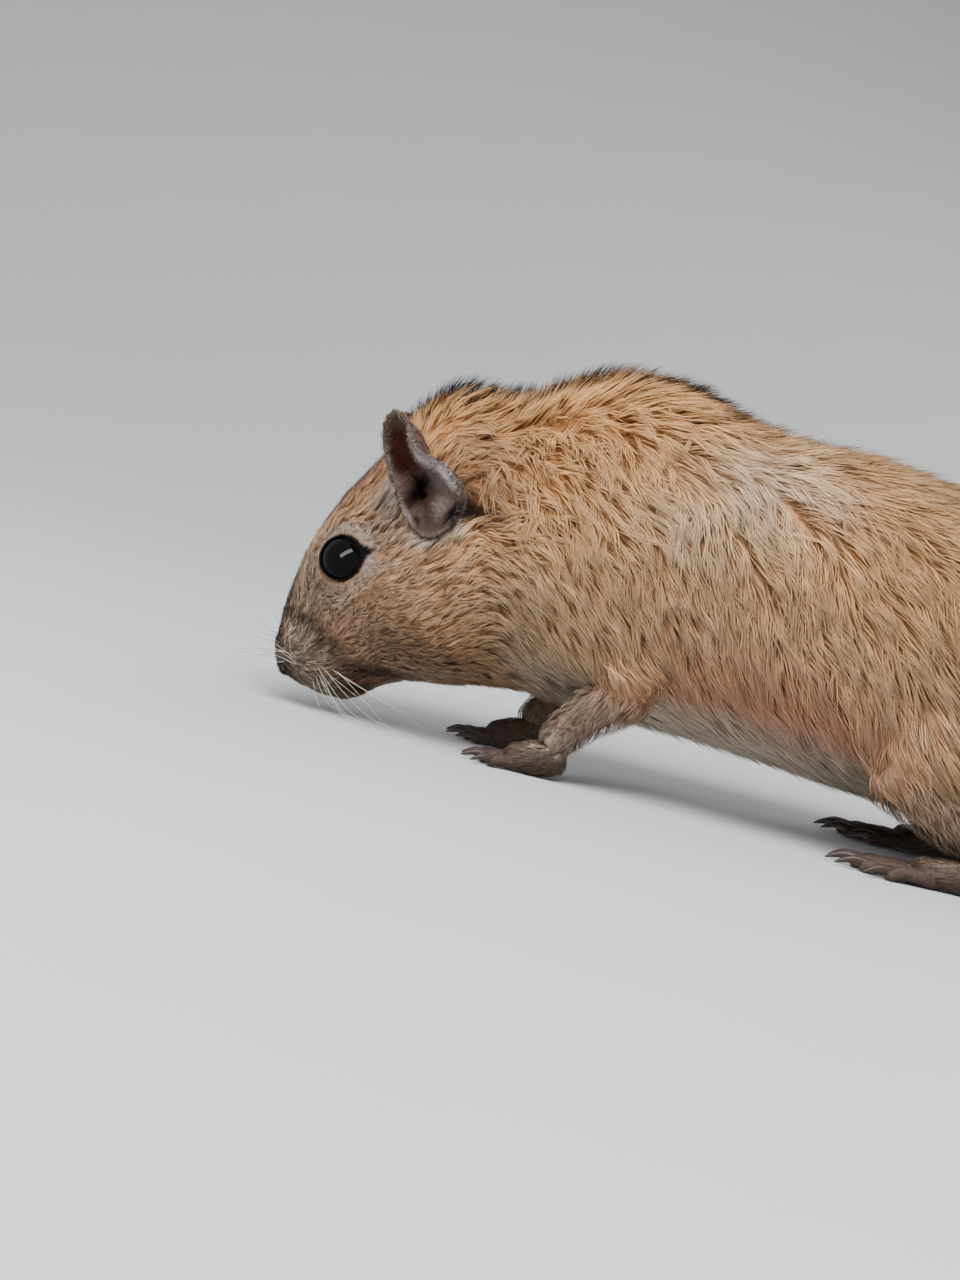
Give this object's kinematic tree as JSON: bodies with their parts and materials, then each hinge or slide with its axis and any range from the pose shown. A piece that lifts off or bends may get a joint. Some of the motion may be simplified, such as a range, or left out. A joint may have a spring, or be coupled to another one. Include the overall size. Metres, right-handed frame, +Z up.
{
  "type": "gerbil",
  "caption": "Sandy-brown gerbil crouching low on all four feet, head stretched forward and tipped down, long furred tail curving round to one side; still life-size model.",
  "frame": {"origin": "middle of the bounding box's underside, on the floor", "axes": "+X from the nose to the rump, so that the animal faces -X; +Y its right side; +Z up"},
  "size_m": [0.1674, 0.085, 0.0483],
  "materials": {
    "coat": "short soft fur, golden tan with dark ticking above, greyish cream below",
    "tail": "short fur with a dark tuft at the tip",
    "ear": "thin skin with very fine hair, darker inside",
    "paw": "matt skin with fine short hair",
    "eye": "wet gloss, almost black",
    "claw": "horn, dark, slightly shiny"
  },
  "bodies": {
    "root": {"chest": "coat", "claw_fore_left_1": "claw", "claw_fore_left_2": "claw", "claw_fore_left_3": "claw", "claw_fore_left_4": "claw", "claw_fore_right_1": "claw", "claw_fore_right_2": "claw", "claw_fore_right_3": "claw", "claw_fore_right_4": "claw", "claw_hind_left_1": "claw", "claw_hind_left_2": "claw", "claw_hind_left_3": "claw", "claw_hind_left_4": "claw", "claw_hind_left_5": "claw", "claw_hind_right_1": "claw", "claw_hind_right_2": "claw", "claw_hind_right_3": "claw", "claw_hind_right_4": "claw", "claw_hind_right_5": "claw", "ear_left": "ear", "ear_right": "ear", "eye_left": "eye", "eye_right": "eye", "foreleg_left_lower": "coat", "foreleg_left_upper": "coat", "foreleg_right_lower": "coat", "foreleg_right_upper": "coat", "forepaw_left": "paw", "forepaw_right": "paw", "head": "coat", "hindfoot_left": "paw", "hindfoot_right": "paw", "hindleg_left_shank": "coat", "hindleg_left_thigh": "coat", "hindleg_right_shank": "coat", "hindleg_right_thigh": "coat", "loin": "coat", "neck": "coat", "rump": "coat", "tail_1": "tail", "tail_2": "tail", "tail_3": "tail", "tail_4": "tail", "tail_5": "tail"}
  },
  "joints": []
}
